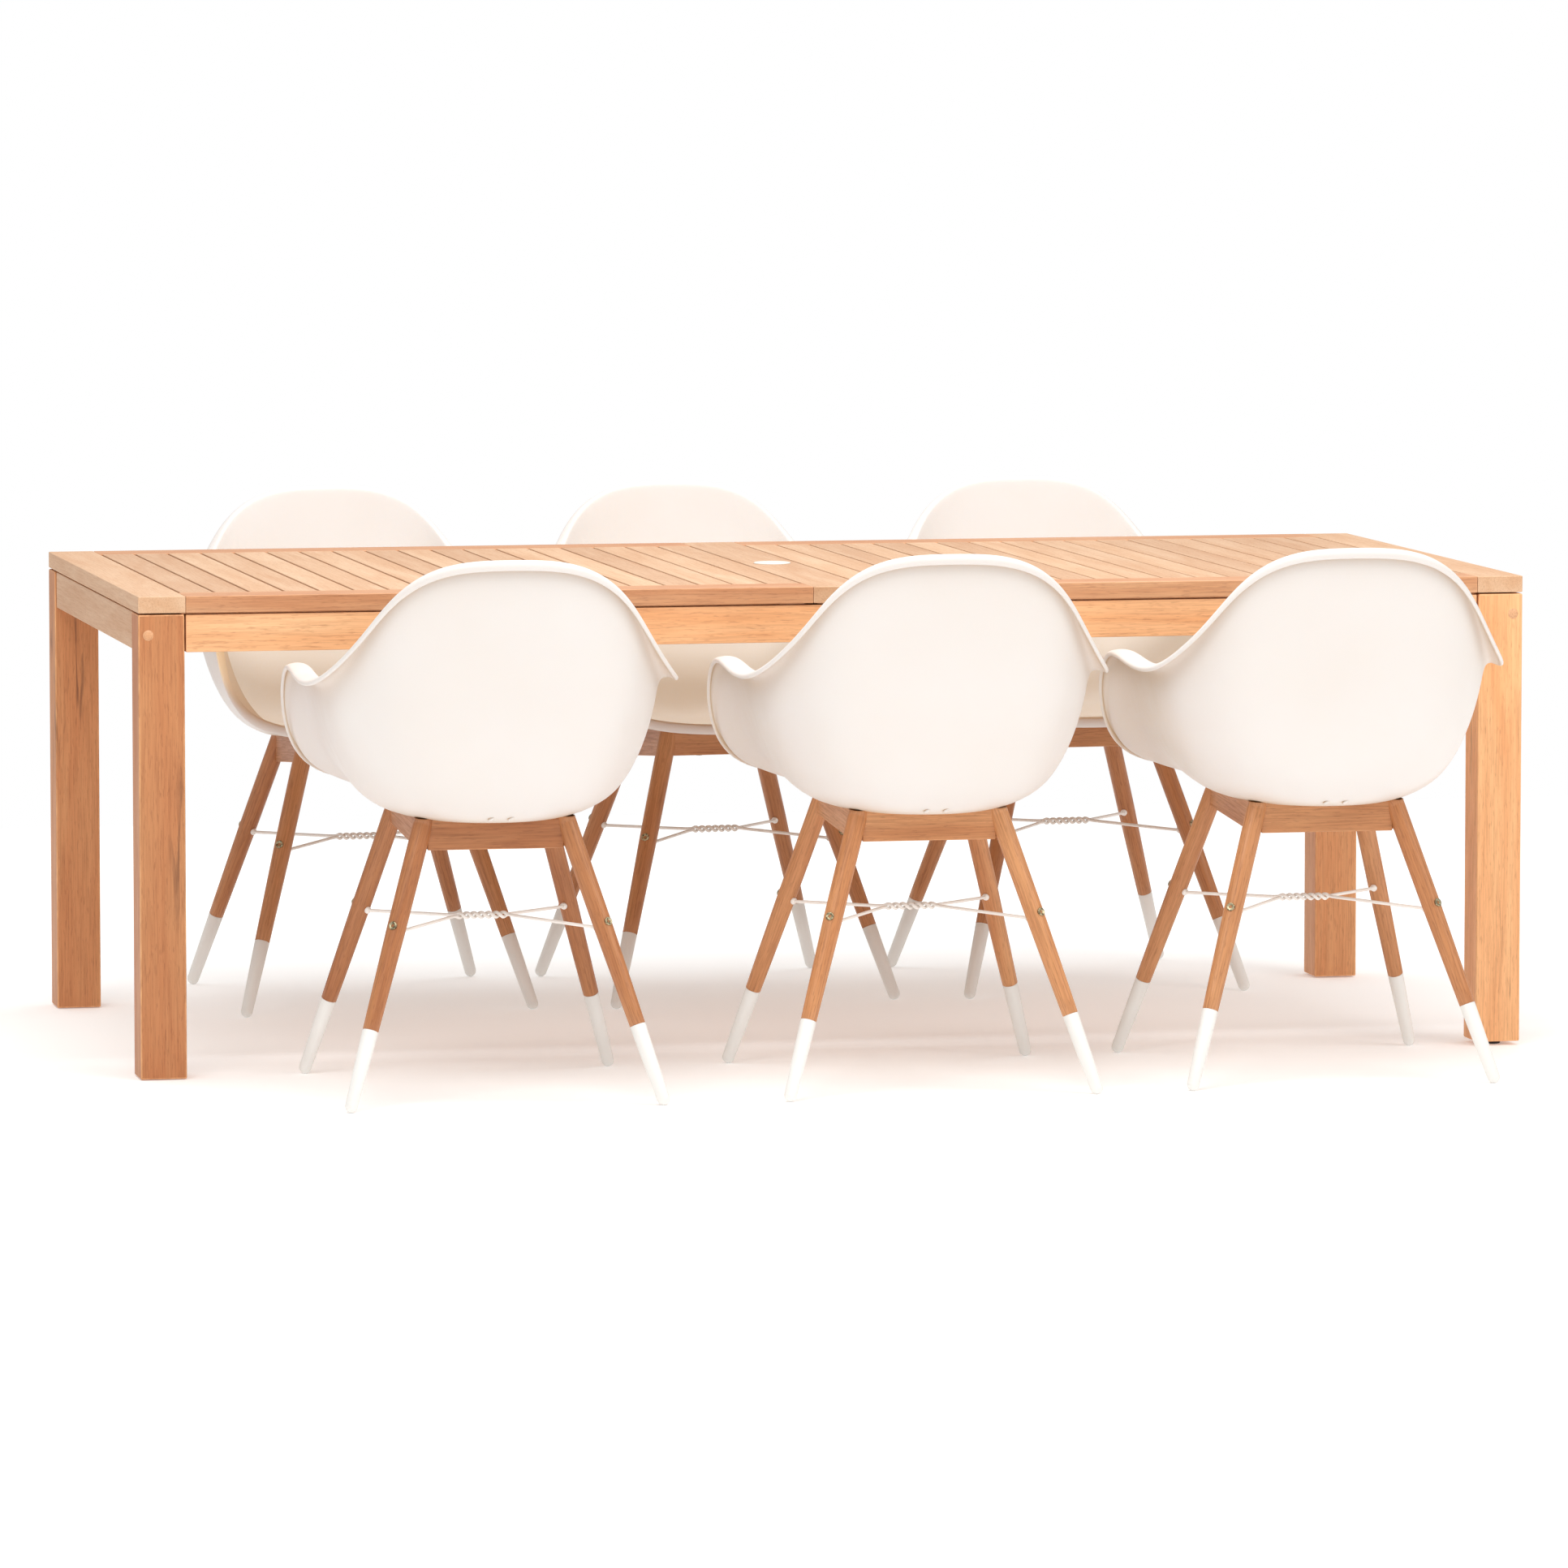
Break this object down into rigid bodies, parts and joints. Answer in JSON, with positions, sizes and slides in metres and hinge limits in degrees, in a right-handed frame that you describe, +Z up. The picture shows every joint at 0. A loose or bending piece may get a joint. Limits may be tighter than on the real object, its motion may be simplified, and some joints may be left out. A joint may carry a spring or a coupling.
{
  "type": "patio dining set",
  "caption": "Slatted hardwood garden table with moulded shell armchairs on splayed wooden legs with white ends and twisted wire braces.",
  "frame": {"origin": "on the floor, in the middle of the set's footprint with the chairs as they stand; the table's middle is 103.1 mm further along +Y", "axes": "+X along the table's length to the right, +Y towards the rear row of chairs, +Z up"},
  "size_m": [2.215, 1.8871, 0.8339],
  "materials": {
    "top_wood": "oiled",
    "rail_wood": "oiled",
    "apron_wood": "oiled",
    "table_leg_wood": "oiled",
    "batten_wood": "oiled",
    "plug_wood": "oiled",
    "chair_wood": "satin",
    "shell_plastic": "satin",
    "leg_end_white": "matt",
    "wire_coating": "matt",
    "bolt_steel": "satin",
    "foot_black": "matt",
    "cap_plastic": "satin"
  },
  "bodies": {
    "table": {"top_end_board_left": "top_wood", "top_end_board_right": "top_wood", "top_centre_board": "top_wood", "top_slats": "top_wood", "top_rail_front_left": "rail_wood", "top_rail_front_right": "rail_wood", "top_rail_rear_left": "rail_wood", "top_rail_rear_right": "rail_wood", "apron_front": "apron_wood", "apron_rear": "apron_wood", "apron_left": "apron_wood", "apron_right": "apron_wood", "table_leg_front_left": "table_leg_wood", "table_leg_front_right": "table_leg_wood", "table_leg_rear_left": "table_leg_wood", "table_leg_rear_right": "table_leg_wood", "under_top_battens": "batten_wood", "leg_bolt_plugs": "plug_wood", "table_bolts_and_inserts": "bolt_steel"},
    "parasol_cap": {"parasol_hole_cap": "cap_plastic"},
    "foot_front_left": {"levelling_foot_front_left": "foot_black"},
    "foot_front_right": {"levelling_foot_front_right": "foot_black"},
    "foot_rear_left": {"levelling_foot_rear_left": "foot_black"},
    "foot_rear_right": {"levelling_foot_rear_right": "foot_black"},
    "chair_front_left": {"chair_front_left_shell": "shell_plastic", "chair_front_left_seat_rails": "chair_wood", "chair_front_left_legs": "chair_wood", "chair_front_left_leg_ends": "leg_end_white", "chair_front_left_brace_wires": "wire_coating", "chair_front_left_bolts": "bolt_steel"},
    "chair_front_middle": {"chair_front_middle_shell": "shell_plastic", "chair_front_middle_seat_rails": "chair_wood", "chair_front_middle_legs": "chair_wood", "chair_front_middle_leg_ends": "leg_end_white", "chair_front_middle_brace_wires": "wire_coating", "chair_front_middle_bolts": "bolt_steel"},
    "chair_front_right": {"chair_front_right_shell": "shell_plastic", "chair_front_right_seat_rails": "chair_wood", "chair_front_right_legs": "chair_wood", "chair_front_right_leg_ends": "leg_end_white", "chair_front_right_brace_wires": "wire_coating", "chair_front_right_bolts": "bolt_steel"},
    "chair_rear_left": {"chair_rear_left_shell": "shell_plastic", "chair_rear_left_seat_rails": "chair_wood", "chair_rear_left_legs": "chair_wood", "chair_rear_left_leg_ends": "leg_end_white", "chair_rear_left_brace_wires": "wire_coating", "chair_rear_left_bolts": "bolt_steel"},
    "chair_rear_middle": {"chair_rear_middle_shell": "shell_plastic", "chair_rear_middle_seat_rails": "chair_wood", "chair_rear_middle_legs": "chair_wood", "chair_rear_middle_leg_ends": "leg_end_white", "chair_rear_middle_brace_wires": "wire_coating", "chair_rear_middle_bolts": "bolt_steel"},
    "chair_rear_right": {"chair_rear_right_shell": "shell_plastic", "chair_rear_right_seat_rails": "chair_wood", "chair_rear_right_legs": "chair_wood", "chair_rear_right_leg_ends": "leg_end_white", "chair_rear_right_brace_wires": "wire_coating", "chair_rear_right_bolts": "bolt_steel"}
  },
  "joints": [
    {"name": "chair_front_left_slide", "type": "slide", "parent": "table", "child": "chair_front_left", "axis": [0, -1, 0], "range_m": [-0.25, 0.45]},
    {"name": "chair_front_middle_slide", "type": "slide", "parent": "table", "child": "chair_front_middle", "axis": [0, -1, 0], "range_m": [-0.25, 0.45]},
    {"name": "chair_front_right_slide", "type": "slide", "parent": "table", "child": "chair_front_right", "axis": [0, -1, 0], "range_m": [-0.25, 0.45]},
    {"name": "chair_rear_left_slide", "type": "slide", "parent": "table", "child": "chair_rear_left", "axis": [0, 1, 0], "range_m": [-0.14, 0.45]},
    {"name": "chair_rear_middle_slide", "type": "slide", "parent": "table", "child": "chair_rear_middle", "axis": [0, 1, 0], "range_m": [-0.14, 0.45]},
    {"name": "chair_rear_right_slide", "type": "slide", "parent": "table", "child": "chair_rear_right", "axis": [0, 1, 0], "range_m": [-0.14, 0.45]},
    {"name": "parasol_cap_lift", "type": "slide", "parent": "table", "child": "parasol_cap", "axis": [0, 0, 1], "range_m": [0, 0.04]},
    {"name": "foot_front_left_screw_travel", "type": "slide", "parent": "table", "child": "foot_front_left", "axis": [0, 0, 1], "range_m": [-0.0105, 0.0015]},
    {"name": "foot_front_right_screw_travel", "type": "slide", "parent": "table", "child": "foot_front_right", "axis": [0, 0, 1], "range_m": [-0.0055, 0.0065]},
    {"name": "foot_rear_left_screw_travel", "type": "slide", "parent": "table", "child": "foot_rear_left", "axis": [0, 0, 1], "range_m": [-0.0105, 0.0015]},
    {"name": "foot_rear_right_screw_travel", "type": "slide", "parent": "table", "child": "foot_rear_right", "axis": [0, 0, 1], "range_m": [-0.0095, 0.0025]}
  ]
}
